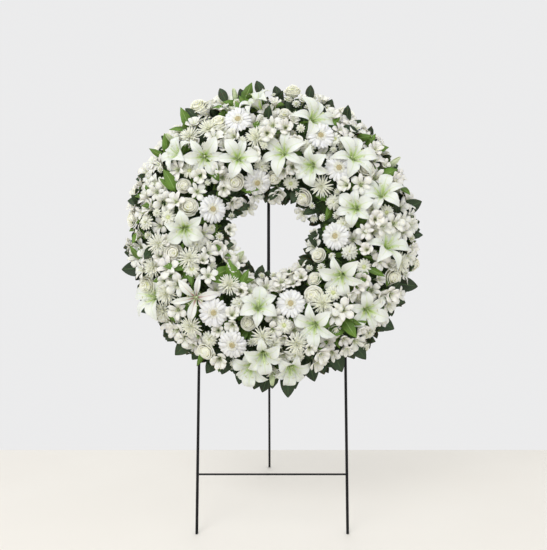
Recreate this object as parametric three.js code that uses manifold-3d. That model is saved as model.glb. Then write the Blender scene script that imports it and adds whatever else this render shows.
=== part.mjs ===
// Funeral wreath on a folding steel easel.
// White flowers and green leaves are dressed on a ring of floral foam in a plastic tray. The ring
// rests on two pegs and a hook of a black easel with two front feet and a hinged rear leg.
// Millimetres, +X right, +Y back, +Z up. The origin is on the floor, under the middle of the part.
import * as THREE from 'three';
import { mergeVertices } from 'three/addons/utils/BufferGeometryUtils.js';
import Module from 'manifold-3d';

const wasm = await Module();
wasm.setup();

// ---- Driving dimensions -----------------------------------------------------------------------
const DEG = Math.PI / 180;
const TOUCH_GAP = 0.3;                    // left between pieces that touch
const ORIGIN_Y = 246;                     // the part's middle, behind the line of the front feet

const FRAME_LEAN = 6.6 * DEG;             // how far the front frame leans back
const LEG_SPREAD = 468;                   // lengths called "along" run up the leaning frame
const LEG_DIA = 9;
const LEG_CORNER_RADIUS = 40;
const RAIL_ALONG = 674;
const CROSSBAR_ALONG = 178;
const CROSSBAR_DIA = 6;
const POST_X = -12;
const POST_DIA = 10;
const POST_TOP_ALONG = 1219;
const PEG_DIA = 5;
const PEG_X = 120;
const PEG_REACH = 80;
const PEG_TIP = 18;

const HINGE_ALONG = 1196;
const HINGE_BEHIND = 16;                  // hinge axis behind the middle of the post
const REAR_FOOT_Y = 588;
const REAR_LEG_DIA = 9;
const EYE_WIDTH = 14;
const EYE_THICKNESS = 4;
const BOLT_DIA = 6;
const BOLT_CLEARANCE = 0.3;
const EAR_GAP = 5;                        // between the ears of the hinge bracket
const EAR_THICKNESS = 2.5;

const RING_ALONG = 931;                   // middle of the wreath, up the leaning frame
const TRAY_INNER = 203;
const TRAY_OUTER = 307;
const TRAY_WALL = 2;
const TRAY_RIM = 13;
const TRAY_BACK = POST_DIA / 2 + 2 * TOUCH_GAP;
const BAND_MIDDLE = (TRAY_INNER + TRAY_OUTER) / 2;
const FOAM_HALF = (TRAY_OUTER - TRAY_INNER) / 2 - TRAY_WALL - TOUCH_GAP;
const FOAM_SHOULDER = 20;                 // heights in the wreath are measured forward of the frame
const FOAM_CROWN = 42;
const RING_SEGMENTS = 24;

const FOLIAGE_BAND = 295;                 // crest of the bed of leaves that covers the foam
const FOLIAGE_HALF = 145;
const FOLIAGE_CREST = 72;
const FOLIAGE_BACK = 15;
const FOLIAGE_SHOULDER = 26;
const FOLIAGE_RUFFLE = 5;
const OVAL = 1.05;                        // the wreath is a little taller than it is wide

const STEM_DIA = 5;
const STALK_DIA = 4;
const STEM_SIDES = 5;
const FLANK = 175;                        // half the width of the flower band
const FLOWER_BAND = 285;                  // distance of the band's crest from the wreath's middle
const FLANK_TILT = 50 * DEG;              // how far heads turn aside at the edges of the band
const HEAD_GAP = 0.5;                     // left between neighbouring heads

// ---- Finishes ---------------------------------------------------------------------------------
const finish = (color, roughness, metalness = 0) => () =>
  new THREE.MeshStandardMaterial({ color, roughness, metalness, flatShading: true });
const BLACK_STEEL = finish(0x17181a, 0.4, 0.6);
const ZINC = finish(0x8d9094, 0.4, 0.9);
const TRAY_GREEN = finish(0x2c4a2d, 0.5);
const FOAM_GREEN = finish(0x3b5b33, 0.95);
const LEAF_GREEN = finish(0x3d5c33, 0.6);
const GERBERA_WHITE = finish(0xf2f1e6, 0.6);
const LILY_WHITE = finish(0xf0f3ee, 0.55);
const ROSE_IVORY = finish(0xf3f1df, 0.6);

// ---- Solids: joining and cutting --------------------------------------------------------------
function toSolid(geometry) {
  const bare = geometry.clone();
  bare.deleteAttribute('normal');
  bare.deleteAttribute('uv');
  const merged = mergeVertices(bare, 1e-3);
  const index = merged.index.array;
  const triangles = [];
  for (let i = 0; i < index.length; i += 3) {
    const [a, b, c] = index.slice(i, i + 3);
    if (a !== b && b !== c && c !== a) triangles.push(a, b, c);
  }
  const mesh = new wasm.Mesh({
    numProp: 3,
    vertProperties: new Float32Array(merged.attributes.position.array),
    triVerts: new Uint32Array(triangles),
  });
  return new wasm.Manifold(mesh);
}

function toGeometry(body) {
  const { vertProperties, triVerts } = body.getMesh();
  const geometry = new THREE.BufferGeometry();
  geometry.setAttribute('position', new THREE.BufferAttribute(vertProperties, 3));
  geometry.setIndex(new THREE.BufferAttribute(triVerts, 1));
  geometry.computeVertexNormals();
  return geometry;
}

const joined = (bodies) => bodies.reduce((sum, body) => sum.add(body));
const cutAway = (body, cutters) => cutters.reduce((rest, cutter) => rest.subtract(cutter), body);

function largestPiece(body) {
  const pieces = body.decompose();
  return pieces.reduce((best, piece) => (piece.volume() > best.volume() ? piece : best));
}

// ---- Rods -------------------------------------------------------------------------------------
// A path of straight runs joined by round bends, with stations only where the rod turns.
class RodPath extends THREE.Curve {
  constructor(corners, bendRadius, bendSteps) {
    super();
    this.stations = [];
    const last = corners.length - 1;
    const heading = (i) => corners[i + 1].clone().sub(corners[i]).normalize();
    this.addStation(corners[0], heading(0));
    for (let i = 1; i < last; i++) {
      this.addBend(corners[i], heading(i - 1), heading(i), bendRadius, bendSteps);
    }
    this.addStation(corners[last], heading(last - 1));
  }

  addStation(point, tangent) {
    this.stations.push({ point: point.clone(), tangent: tangent.clone() });
  }

  addBend(corner, before, after, radius, steps) {
    const turn = before.angleTo(after);
    const start = corner.clone().addScaledVector(before, -radius * Math.tan(turn / 2));
    const inward = after.clone().addScaledVector(before, -Math.cos(turn)).normalize();
    for (let k = 0; k <= steps; k++) {
      const angle = (turn * k) / steps;
      const point = start.clone().addScaledVector(before, radius * Math.sin(angle));
      point.addScaledVector(inward, radius * (1 - Math.cos(angle)));
      const tangent = before.clone().multiplyScalar(Math.cos(angle));
      this.addStation(point, tangent.addScaledVector(inward, Math.sin(angle)));
    }
  }

  stationAt(u) {
    return this.stations[Math.round(u * (this.stations.length - 1))];
  }

  getPointAt(u, target = new THREE.Vector3()) {
    return target.copy(this.stationAt(u).point);
  }

  getTangentAt(u, target = new THREE.Vector3()) {
    return target.copy(this.stationAt(u).tangent);
  }
}

function roundSection(diameter, sides) {
  const corners = [];
  for (let i = 0; i < sides; i++) {
    const angle = (2 * Math.PI * i) / sides;
    corners.push(new THREE.Vector2(Math.cos(angle), Math.sin(angle)).multiplyScalar(diameter / 2));
  }
  return new THREE.Shape(corners);
}

function bentRod(corners, diameter, bendRadius, sides = 8, bendSteps = 3) {
  const path = new RodPath(corners, bendRadius, bendSteps);
  return new THREE.ExtrudeGeometry(roundSection(diameter, sides), {
    steps: path.stations.length - 1,
    extrudePath: path,
    bevelEnabled: false,
  });
}

function straightRod(from, to, diameter, sides = 8) {
  const run = to.clone().sub(from);
  const rod = new THREE.CylinderGeometry(diameter / 2, diameter / 2, run.length(), sides);
  const upright = new THREE.Vector3(0, 1, 0);
  rod.applyQuaternion(new THREE.Quaternion().setFromUnitVectors(upright, run.normalize()));
  const middle = from.clone().add(to).multiplyScalar(0.5);
  return rod.translate(middle.x, middle.y, middle.z);
}

// A point of the leaning front frame: across, forward of its plane, and up along it.
function onFrame(x, forward, along) {
  const y = along * Math.sin(FRAME_LEAN) - forward * Math.cos(FRAME_LEAN);
  const z = along * Math.cos(FRAME_LEAN) + forward * Math.sin(FRAME_LEAN);
  return new THREE.Vector3(x, y, z);
}

// Feet are sawn level with the floor, so each rod starts below it and is cut there.
const BELOW_FLOOR = 30;
const UNDERGROUND = toSolid(new THREE.BoxGeometry(2000, 2000, 100).translate(0, 300, -50));
const sawnLevel = (geometry) => toGeometry(toSolid(geometry).subtract(UNDERGROUND));

// ---- Easel ------------------------------------------------------------------------------------
function frontLegs() {
  const half = LEG_SPREAD / 2;
  const corners = [
    onFrame(-half, 0, -BELOW_FLOOR), onFrame(-half, 0, RAIL_ALONG),
    onFrame(half, 0, RAIL_ALONG), onFrame(half, 0, -BELOW_FLOOR),
  ];
  return sawnLevel(bentRod(corners, LEG_DIA, LEG_CORNER_RADIUS, 10));
}

function lowerCrossbar() {
  const reach = LEG_SPREAD / 2 - LEG_DIA / 2 - TOUCH_GAP;
  const ends = [-reach, reach].map((x) => onFrame(x, 0, CROSSBAR_ALONG));
  return straightRod(...ends, CROSSBAR_DIA, 10);
}

function centrePost() {
  const foot = RAIL_ALONG + LEG_DIA / 2 + TOUCH_GAP;
  return straightRod(onFrame(POST_X, 0, foot), onFrame(POST_X, 0, POST_TOP_ALONG), POST_DIA, 12);
}

// The hook reaches forward under the inner edge of the tray and turns up in front of the foam.
function wreathHook() {
  const trayEdge = TRAY_INNER * Math.cos(Math.PI / RING_SEGMENTS);
  const along = RING_ALONG + trayEdge - TOUCH_GAP - PEG_DIA / 2;
  const start = POST_DIA / 2 + TOUCH_GAP;
  const corners = [
    onFrame(POST_X, start, along), onFrame(POST_X, PEG_REACH, along),
    onFrame(POST_X, PEG_REACH, along + PEG_TIP),
  ];
  return bentRod(corners, PEG_DIA, PEG_DIA);
}

// A peg drops from the rail, reaches forward under the outer edge of the tray and turns up.
function ringPeg(x) {
  const clear = TRAY_OUTER + TOUCH_GAP + PEG_DIA / 2;
  const along = RING_ALONG - Math.sqrt(clear * clear - x * x);
  const start = RAIL_ALONG - LEG_DIA / 2 - TOUCH_GAP;
  const corners = [
    onFrame(x, 0, start), onFrame(x, 0, along),
    onFrame(x, PEG_REACH, along), onFrame(x, PEG_REACH, along + PEG_TIP),
  ];
  return bentRod(corners, PEG_DIA, PEG_DIA);
}

const HINGE_AXIS = onFrame(POST_X, -HINGE_BEHIND, HINGE_ALONG);
const REAR_FOOT = new THREE.Vector3(POST_X, REAR_FOOT_Y, 0);

// A plate outline is drawn across the hinge axis, then given its thickness along that axis.
function plateAcrossHinge(outline, thickness, holeDiameter) {
  const shape = new THREE.Shape(outline);
  const hole = new THREE.Path().absarc(0, 0, holeDiameter / 2, 0, 2 * Math.PI, true);
  shape.holes.push(hole);
  const plate = new THREE.ExtrudeGeometry(shape, {
    depth: thickness, bevelEnabled: false, curveSegments: 6,
  });
  plate.translate(0, 0, -thickness / 2);
  return plate.applyMatrix4(new THREE.Matrix4().makeBasis(
    new THREE.Vector3(0, 1, 0), new THREE.Vector3(0, 0, 1), new THREE.Vector3(1, 0, 0),
  ));
}

// The bracket is a U of sheet steel: a web flat on the back of the post and two drilled ears.
function hingeBracket() {
  const web = HINGE_BEHIND - POST_DIA / 2 - TOUCH_GAP;
  const [low, high, back] = [-16, 14, 8];
  const outline = [
    new THREE.Vector2(-web, low), new THREE.Vector2(back - 3, low / 2), new THREE.Vector2(back, 0),
    new THREE.Vector2(back - 3, high / 2), new THREE.Vector2(-web, high),
  ];
  const offset = (EAR_GAP + EAR_THICKNESS) / 2;
  const ears = [-offset, offset].map((x) =>
    toSolid(plateAcrossHinge(outline, EAR_THICKNESS, BOLT_DIA + 2 * BOLT_CLEARANCE).translate(x, 0, 0)));
  const webPlate = new THREE.BoxGeometry(EAR_GAP + 2 * EAR_THICKNESS, 2, high - low);
  webPlate.translate(0, 1 - web, (high + low) / 2);
  const bracket = toGeometry(joined([...ears, toSolid(webPlate)]));
  return bracket.rotateX(-FRAME_LEAN).translate(HINGE_AXIS.x, HINGE_AXIS.y, HINGE_AXIS.z);
}

const BRACKET_HALF = EAR_GAP / 2 + EAR_THICKNESS;
const BOLT_HEAD_THICKNESS = 4;
const NUT_THICKNESS = 5;
const SPANNER_SIZE = 11.5;                // across the corners of the hexagon

function hexagon(x, thickness, boreDiameter = 0) {
  const across = (offset) => HINGE_AXIS.clone().add(new THREE.Vector3(offset, 0, 0));
  const blank = toSolid(straightRod(across(x), across(x + thickness), SPANNER_SIZE, 6));
  if (boreDiameter === 0) return blank;
  return blank.subtract(toSolid(straightRod(across(x - 1), across(x + thickness + 1), boreDiameter, 12)));
}

function hingeBolt() {
  const shankEnd = BRACKET_HALF + TOUCH_GAP + NUT_THICKNESS + 2;
  const headFace = -BRACKET_HALF - TOUCH_GAP;
  const across = (offset) => HINGE_AXIS.clone().add(new THREE.Vector3(offset, 0, 0));
  const shank = toSolid(straightRod(across(headFace - 1), across(shankEnd), BOLT_DIA, 12));
  return toGeometry(hexagon(headFace - BOLT_HEAD_THICKNESS, BOLT_HEAD_THICKNESS).add(shank));
}

const hingeNut = () =>
  toGeometry(hexagon(BRACKET_HALF + TOUCH_GAP, NUT_THICKNESS, BOLT_DIA + 2 * BOLT_CLEARANCE));

// The rod's top end is pressed flat into an eye that turns on the bolt between the ears.
function rearLeg() {
  const down = REAR_FOOT.clone().sub(HINGE_AXIS).normalize();
  const rod = straightRod(
    HINGE_AXIS.clone().addScaledVector(down, EYE_WIDTH),
    REAR_FOOT.clone().addScaledVector(down, BELOW_FLOOR), REAR_LEG_DIA, 10,
  );
  const half = EYE_WIDTH / 2;
  const neck = REAR_LEG_DIA / 2;
  const outline = [
    new THREE.Vector2(-half, 0), new THREE.Vector2(-neck, -EYE_WIDTH - 8),
    new THREE.Vector2(neck, -EYE_WIDTH - 8), new THREE.Vector2(half, 0),
    new THREE.Vector2(half * 0.7, half * 0.7), new THREE.Vector2(0, half),
    new THREE.Vector2(-half * 0.7, half * 0.7),
  ];
  const eye = plateAcrossHinge(outline, EYE_THICKNESS, BOLT_DIA + 2 * BOLT_CLEARANCE);
  eye.rotateX(Math.atan2(down.y, -down.z)).translate(HINGE_AXIS.x, HINGE_AXIS.y, HINGE_AXIS.z);
  return toGeometry(joined([toSolid(rod), toSolid(eye)]).subtract(UNDERGROUND));
}

// ---- Wreath: its own frame has +Y up the lean and +Z forward ------------------------------------
const wreathFrame = new THREE.Matrix4().makeRotationX(Math.PI / 2 - FRAME_LEAN);
wreathFrame.setPosition(onFrame(0, 0, RING_ALONG));
const intoWreath = wreathFrame.clone().invert();

function turnedRing(profile) {
  const points = [...profile, profile[0]].map(([radius, height]) => new THREE.Vector2(radius, height));
  return new THREE.LatheGeometry(points, RING_SEGMENTS).rotateX(Math.PI / 2);
}

function ringTray() {
  const rim = TRAY_BACK + TRAY_RIM;
  return turnedRing([
    [TRAY_INNER, TRAY_BACK], [TRAY_OUTER, TRAY_BACK], [TRAY_OUTER, rim], [TRAY_OUTER - TRAY_WALL, rim],
    [TRAY_OUTER - TRAY_WALL, TRAY_BACK + TRAY_WALL], [TRAY_INNER + TRAY_WALL, TRAY_BACK + TRAY_WALL],
    [TRAY_INNER + TRAY_WALL, rim], [TRAY_INNER, rim],
  ]);
}

// Half an ellipse over the band, offset outward from the foam's crown, as [radius, height] points.
function crownArc(offset, steps = 5) {
  const points = [];
  for (let i = 0; i <= steps; i++) {
    const angle = (Math.PI * i) / steps;
    const radius = BAND_MIDDLE + (FOAM_HALF + offset) * Math.cos(angle);
    points.push([radius, FOAM_SHOULDER + (FOAM_CROWN + offset) * Math.sin(angle)]);
  }
  return points;
}

function foamRing() {
  const bottom = TRAY_BACK + TRAY_WALL + TOUCH_GAP;
  const profile = [
    [BAND_MIDDLE - FOAM_HALF, bottom], [BAND_MIDDLE + FOAM_HALF, bottom], ...crownArc(0),
  ];
  return toSolid(turnedRing(profile));
}

// ---- Flower heads: each faces +Z, with the middle of its face at the origin ---------------------
// A turned form whose outer edge is drawn in and lifted between petals.
function petalledHead(profile, petals, perPetal, edge) {
  const points = profile.map(([radius, height]) => new THREE.Vector2(radius, height));
  const head = new THREE.LatheGeometry(points, petals * perPetal).rotateX(Math.PI / 2);
  const position = head.attributes.position;
  const step = (2 * Math.PI) / (petals * perPetal);
  for (let i = 0; i < position.count; i++) {
    const [x, y, z] = [position.getX(i), position.getY(i), position.getZ(i)];
    const radius = Math.hypot(x, y);
    const place = Math.round((Math.atan2(y, x) + 2 * Math.PI) / step) % perPetal;
    const { reach, lift } = edge(radius, place);
    position.setXYZ(i, x * reach, y * reach, z + lift);
  }
  return head;
}

function gerberaHead() {
  const profile = [[0, -14], [43, 2], [12, 1], [0, 7]];
  return petalledHead(profile, 12, 2, (radius, place) => ({
    reach: radius > 30 && place === 1 ? 0.84 : 1,
    lift: 0,
  }));
}

function lilyHead() {
  const profile = [[0, -36], [12, -18], [72, 4], [0, -12]];
  const reaches = [1, 0.7, 0.26, 0.7];
  const lifts = [0, 9, -6, 9];
  return petalledHead(profile, 6, 4, (radius, place) => ({
    reach: radius > 40 ? reaches[place] : 1,
    lift: radius > 40 ? lifts[place] : 0,
  }));
}

function roseHead() {
  const profile = [[0, -22], [16, -16], [28, -2], [21, 10], [0, 6]];
  return petalledHead(profile, 5, 2, (radius, place) => ({
    reach: radius > 18 && place === 0 ? 0.92 : 1,
    lift: 0,
  }));
}

function daisyHead() {
  return petalledHead([[0, -8], [27, 0], [0, 5]], 6, 2, (radius, place) => ({
    reach: radius > 20 && place === 1 ? 0.7 : 1,
    lift: 0,
  }));
}

function budHead() {
  return petalledHead([[0, -26], [13, -6], [0, 14]], 3, 2, () => ({ reach: 1, lift: 0 }));
}

// Each kind: its head, how far it reaches sideways and below its face, its share of a shared
// border, how high its faces stand over the crest of the band, and its stem. A kind with a stalk
// length is rooted in the leaves, and the others in the foam.
const KINDS = {
  gerbera: { head: gerberaHead(), reach: 43, depth: 12, share: 42, crest: 150, stem: STEM_DIA },
  lily: { head: lilyHead(), reach: 72, depth: 32, share: 44, crest: 158, stem: STEM_DIA },
  rose: { head: roseHead(), reach: 28, depth: 18, share: 28, crest: 146, stem: STEM_DIA },
  daisy: { head: daisyHead(), reach: 27, depth: 6, share: 20, crest: 134, stem: STALK_DIA, stalk: 34 },
  bud: { head: budHead(), reach: 13, depth: 22, share: 15, crest: 138, stem: STALK_DIA, stalk: 30 },
};

// ---- Flower plan: [clock degrees, distance from the wreath's middle] ----------------------------
const GERBERAS = [
  [343, 365], [27, 330], [47, 280], [290, 195], [95, 195], [215, 305], [166, 230], [199, 365], [343, 162],
];
const LILIES = [
  [7, 245], [31, 230], [335, 245], [317, 305], [48, 345], [75, 260], [270, 265], [125, 250], [97, 360],
  [228, 310], [190, 235], [157, 315], [130, 380], [21, 380], [353, 415], [184, 380], [71, 355], [242, 420],
];
const ROSES = [
  [8, 480], [330, 490], [334, 385], [31, 465], [56, 350], [41, 145], [323, 190], [286, 265], [276, 450],
  [257, 310], [247, 425], [148, 235], [111, 400], [209, 420],
];
const DAISIES = [
  [350, 290], [319, 395], [263, 350], [239, 375], [220, 380], [185, 325], [168, 350], [104, 405],
  [253, 380], [218, 210], [146, 270], [306, 315], [21, 165], [65, 210], [81, 355], [106, 245],
  [112, 300], [274, 390], [259, 235], [204, 245], [173, 290], [169, 385], [34, 345], [294, 380],
  [136, 430], [320, 460], [292, 455], [64, 410], [80, 425], [150, 440], [184, 450], [230, 440],
];
const BUDS = [
  [234, 135], [309, 430], [172, 430], [102, 460], [141, 470], [127, 330], [194, 290], [2, 170],
  [345, 455], [48, 430],
];

// ---- Placing the flowers over the band ----------------------------------------------------------
function bandFrame(clock) {
  const angle = clock * DEG;
  return {
    outward: new THREE.Vector3(Math.sin(angle), Math.cos(angle), 0),
    sideways: new THREE.Vector3(Math.cos(angle), -Math.sin(angle), 0),
  };
}

const onBand = (clock, radius, height) =>
  bandFrame(clock).outward.multiplyScalar(radius).setZ(height);

// A point inside the foam, towards the flower at this radius and height.
function rootInFoam(clock, radius, height) {
  const angle = Math.atan2((height - FOAM_SHOULDER) / FOAM_CROWN, (radius - BAND_MIDDLE) / FOAM_HALF);
  const reach = BAND_MIDDLE + (FOAM_HALF - ROOT_DEPTH) * Math.cos(angle);
  return onBand(clock, reach, FOAM_SHOULDER + (FOAM_CROWN - ROOT_DEPTH) * Math.sin(angle));
}

const ROOT_DEPTH = 20;
const SPIN_STEP = 37 * DEG;               // turns each head a little from the last

function placedFlower(kindName, [clock, radius], order) {
  const kind = KINDS[kindName];
  const across = (radius - FLOWER_BAND) / FLANK;
  const height = kind.crest * Math.sqrt(Math.max(0.1, 1 - across * across));
  const { outward, sideways } = bandFrame(clock);
  const tilt = THREE.MathUtils.clamp(across, -1, 1) * FLANK_TILT;
  const facing = outward.multiplyScalar(Math.sin(tilt)).setZ(Math.cos(tilt));
  const matrix = new THREE.Matrix4().makeBasis(sideways, facing.clone().cross(sideways), facing);
  matrix.multiply(new THREE.Matrix4().makeRotationZ(order * SPIN_STEP));
  const centre = onBand(clock, radius, height);
  matrix.setPosition(centre);
  const neck = centre.clone().addScaledVector(facing, -kind.depth);
  const root = kind.stalk
    ? neck.clone().addScaledVector(facing, -kind.stalk)
    : rootInFoam(clock, radius, height);
  const shape = toSolid(kind.head.clone().applyMatrix4(matrix));
  return { kindName, kind, clock, centre, matrix, neck, root, shape };
}

const flowers = [
  ...GERBERAS.map((place, i) => placedFlower('gerbera', place, i)),
  ...LILIES.map((place, i) => placedFlower('lily', place, i)),
  ...ROSES.map((place, i) => placedFlower('rose', place, i)),
  ...DAISIES.map((place, i) => placedFlower('daisy', place, i)),
  ...BUDS.map((place, i) => placedFlower('bud', place, i)),
];

// Neighbouring heads share the room between them: each is cut back to its side of a border plane.
function keepToOwnSide(flower, neighbour) {
  const apart = neighbour.centre.clone().sub(flower.centre);
  const distance = apart.length();
  if (distance > flower.kind.reach + neighbour.kind.reach + 20) return;
  const border = (distance * flower.kind.share) / (flower.kind.share + neighbour.kind.share);
  const outside = apart.normalize();
  const limit = outside.dot(flower.centre) + border - HEAD_GAP / 2;
  const inside = outside.clone().negate();
  flower.shape = flower.shape.trimByPlane(inside.toArray(), -limit);
}

for (const flower of flowers) {
  for (const neighbour of flowers) {
    if (neighbour !== flower) keepToOwnSide(flower, neighbour);
  }
}

// Stems pass the other heads, the leaves and the foam through holes a little wider than themselves.
for (const flower of flowers) {
  flower.stem = toSolid(straightRod(flower.root, flower.neck, flower.kind.stem, STEM_SIDES));
  const past = flower.root.clone().sub(flower.neck).normalize().add(flower.root);
  const bore = flower.kind.stem + 4 * TOUCH_GAP;
  flower.hole = toSolid(straightRod(past, flower.neck, bore, STEM_SIDES));
}
for (const flower of flowers) {
  const others = flowers.filter((other) => other !== flower).map((other) => other.hole);
  flower.body = largestPiece(cutAway(flower.shape, others)).add(flower.stem);
}

// ---- Greenery: a bed of leaves over the foam, leaves round both edges, and small blossoms -------
function leafBlade(length, width) {
  const half = width / 2;
  const outline = new THREE.Shape([
    new THREE.Vector2(-half * 0.6, 0), new THREE.Vector2(half * 0.6, 0),
    new THREE.Vector2(half, length * 0.4), new THREE.Vector2(half * 0.75, length * 0.75),
    new THREE.Vector2(0, length), new THREE.Vector2(-half * 0.75, length * 0.75),
    new THREE.Vector2(-half, length * 0.4),
  ]);
  return new THREE.ExtrudeGeometry(outline, { depth: 1.8, bevelEnabled: false });
}

const LEAF_HEIGHT = 24;
const LEAF_WIDTH = 46;
const LEAF_ROOT_OUT = FOLIAGE_BAND + FOLIAGE_HALF - 30;
const LEAF_ROOT_IN = FOLIAGE_BAND - FOLIAGE_HALF + 25;
const OUTER_LEAVES = [
  [15, 520], [24, 485], [37, 470], [50, 455], [61, 460], [81, 478], [90, 465], [114, 470], [134, 475],
  [147, 470], [162, 462], [174, 490], [183, 465], [196, 470], [208, 472], [220, 452], [232, 448],
  [244, 462], [256, 478], [270, 475], [284, 475], [294, 472], [313, 480], [327, 500], [341, 518],
  [353, 518],
];
const INNER_LEAVES = [
  [40, 140], [63, 132], [94, 130], [128, 143], [149, 150], [172, 135], [195, 130], [225, 127], [256, 132],
  [285, 128], [313, 130], [343, 135],
];

function placedLeaf([clock, tip]) {
  const { outward, sideways } = bandFrame(clock);
  const root = tip > BAND_MIDDLE ? LEAF_ROOT_OUT : LEAF_ROOT_IN;
  const length = Math.abs(tip - root);
  const along = outward.clone().multiplyScalar(Math.sign(tip - root));
  const thickness = new THREE.Vector3(0, 0, 1);
  const matrix = new THREE.Matrix4().makeBasis(along.clone().cross(thickness), along, thickness);
  matrix.setPosition(onBand(clock, root, LEAF_HEIGHT + 2 * (clock % 3)));
  return toSolid(leafBlade(length, Math.min(LEAF_WIDTH, 0.8 * length)).applyMatrix4(matrix));
}

const SECTORS = 6;
const SECTOR_ANGLE = 360 / SECTORS;

// The bed of leaves: a ruffled half round over the band, hollow behind to take foam and tray.
function foliageRing() {
  const outside = [];
  for (let angle = 0; angle <= 180; angle += 30) {
    const radius = FOLIAGE_BAND + FOLIAGE_HALF * Math.cos(angle * DEG);
    outside.push([radius, FOLIAGE_SHOULDER + FOLIAGE_CREST * Math.sin(angle * DEG)]);
  }
  const rim = TRAY_BACK + TRAY_RIM + 2 * TOUCH_GAP;
  const arc = crownArc(2 * TOUCH_GAP).reverse();
  const inner = arc[0][0] - TRAY_WALL - TOUCH_GAP;
  const outer = arc[arc.length - 1][0] + TRAY_WALL + TOUCH_GAP;
  const profile = [
    ...outside, [inner - 25, FOLIAGE_BACK], [inner, FOLIAGE_BACK], [inner, rim], ...arc,
    [outer, rim], [outer, FOLIAGE_BACK], [outer + 100, FOLIAGE_BACK],
  ];
  const ring = turnedRing(profile);
  ruffle(ring, profile.length + 1, outside.length);
  return toSolid(ring);
}

// Lifts and drops the outside of the bed, and draws its outer edge into the wreath's slight oval.
function ruffle(ring, pointsPerSlice, outsideCount) {
  const position = ring.attributes.position;
  for (let i = 0; i < position.count; i++) {
    const slice = Math.floor(i / pointsPerSlice) % RING_SEGMENTS;
    const point = i % pointsPerSlice;
    const onOutside = point < outsideCount || point === pointsPerSlice - 1;
    if (!onOutside) continue;
    const along = point === pointsPerSlice - 1 ? 0 : point;
    const wave = Math.sin(slice * 2.3 + along * 1.9) * FOLIAGE_RUFFLE;
    const stretch = along < 3 ? OVAL : 1;
    position.setY(i, position.getY(i) * stretch);
    position.setZ(i, position.getZ(i) + wave);
  }
}

function sectorWedge(number) {
  const reach = 900;
  const start = number * SECTOR_ANGLE + 0.1;
  const corner = (clock) => {
    const { outward } = bandFrame(clock);
    return new THREE.Vector2(outward.x, outward.y).multiplyScalar(reach);
  };
  const corners = [0, 30, SECTOR_ANGLE - 0.2].map((turn) => corner(start + turn));
  corners.unshift(new THREE.Vector2(0, 0));
  const wedge = new THREE.ExtrudeGeometry(new THREE.Shape(corners), { depth: 400, bevelEnabled: false });
  return toSolid(wedge.translate(0, 0, -50));
}

// The room a head needs below its face, so that no leaf touches it.
function headRoom({ kind, matrix }) {
  const height = kind.depth + 20;
  const room = new THREE.CylinderGeometry(1.2 * kind.reach, 18, height, 6).rotateX(Math.PI / 2);
  return toSolid(room.translate(0, 0, 14 - height / 2).applyMatrix4(matrix));
}

const rootsInLeaves = (flower) => flower.kind.stalk > 0;
const inSector = (number) => ({ clock }) => Math.floor(clock / SECTOR_ANGLE) === number;
const easelRoom = [wreathHook(), ringPeg(-PEG_X), ringPeg(PEG_X)].map((rod) => {
  const slim = toSolid(rod.applyMatrix4(intoWreath));
  const nudges = [[TOUCH_GAP, 0, 0], [-TOUCH_GAP, 0, 0], [0, TOUCH_GAP, 0], [0, -TOUCH_GAP, 0]];
  return joined([...nudges, [0, 0, TOUCH_GAP], [0, 0, -TOUCH_GAP]].map((nudge) => slim.translate(nudge)));
});

function greenery(foliage, leaves, number) {
  const own = flowers.filter((flower) => rootsInLeaves(flower) && inSector(number)(flower));
  const others = flowers.filter((flower) => !own.includes(flower));
  const whole = joined([foliage, ...leaves]).intersect(sectorWedge(number));
  const cutters = [...others.map(headRoom), ...others.map((flower) => flower.hole), ...easelRoom];
  return largestPiece(joined([largestPiece(cutAway(whole, cutters)), ...own.map((flower) => flower.body)]));
}

// ---- The scene graph ----------------------------------------------------------------------------
const part = new THREE.Group();
part.position.y = -ORIGIN_Y;
const easel = new THREE.Group();
const wreath = new THREE.Group();
wreath.applyMatrix4(wreathFrame);
part.add(easel, wreath);

function place(group, name, geometry, material) {
  const mesh = new THREE.Mesh(geometry, material());
  mesh.name = name;
  group.add(mesh);
}

place(easel, 'front_legs', frontLegs(), BLACK_STEEL);
place(easel, 'lower_crossbar', lowerCrossbar(), BLACK_STEEL);
place(easel, 'centre_post', centrePost(), BLACK_STEEL);
place(easel, 'wreath_hook', wreathHook(), BLACK_STEEL);
place(easel, 'ring_peg_left', ringPeg(-PEG_X), BLACK_STEEL);
place(easel, 'ring_peg_right', ringPeg(PEG_X), BLACK_STEEL);
place(easel, 'hinge_bracket', hingeBracket(), BLACK_STEEL);
place(easel, 'hinge_bolt', hingeBolt(), ZINC);
place(easel, 'hinge_nut', hingeNut(), ZINC);
place(easel, 'rear_leg', rearLeg(), BLACK_STEEL);

place(wreath, 'ring_tray', ringTray(), TRAY_GREEN);
const stemHoles = flowers.filter((flower) => !rootsInLeaves(flower)).map((flower) => flower.hole);
place(wreath, 'foam_ring', toGeometry(cutAway(foamRing(), stemHoles)), FOAM_GREEN);

const foliage = foliageRing();
const leaves = [...OUTER_LEAVES, ...INNER_LEAVES].map(placedLeaf);
for (let number = 0; number < SECTORS; number++) {
  place(wreath, `greenery_${number + 1}`, toGeometry(greenery(foliage, leaves, number)), LEAF_GREEN);
}

const PETAL_FINISH = { gerbera: GERBERA_WHITE, lily: LILY_WHITE, rose: ROSE_IVORY };
for (const [kindName, material] of Object.entries(PETAL_FINISH)) {
  const ofKind = flowers.filter((flower) => flower.kindName === kindName);
  ofKind.forEach((flower, i) => place(wreath, `${kindName}_${i + 1}`, toGeometry(flower.body), material));
}

export default part;
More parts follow.
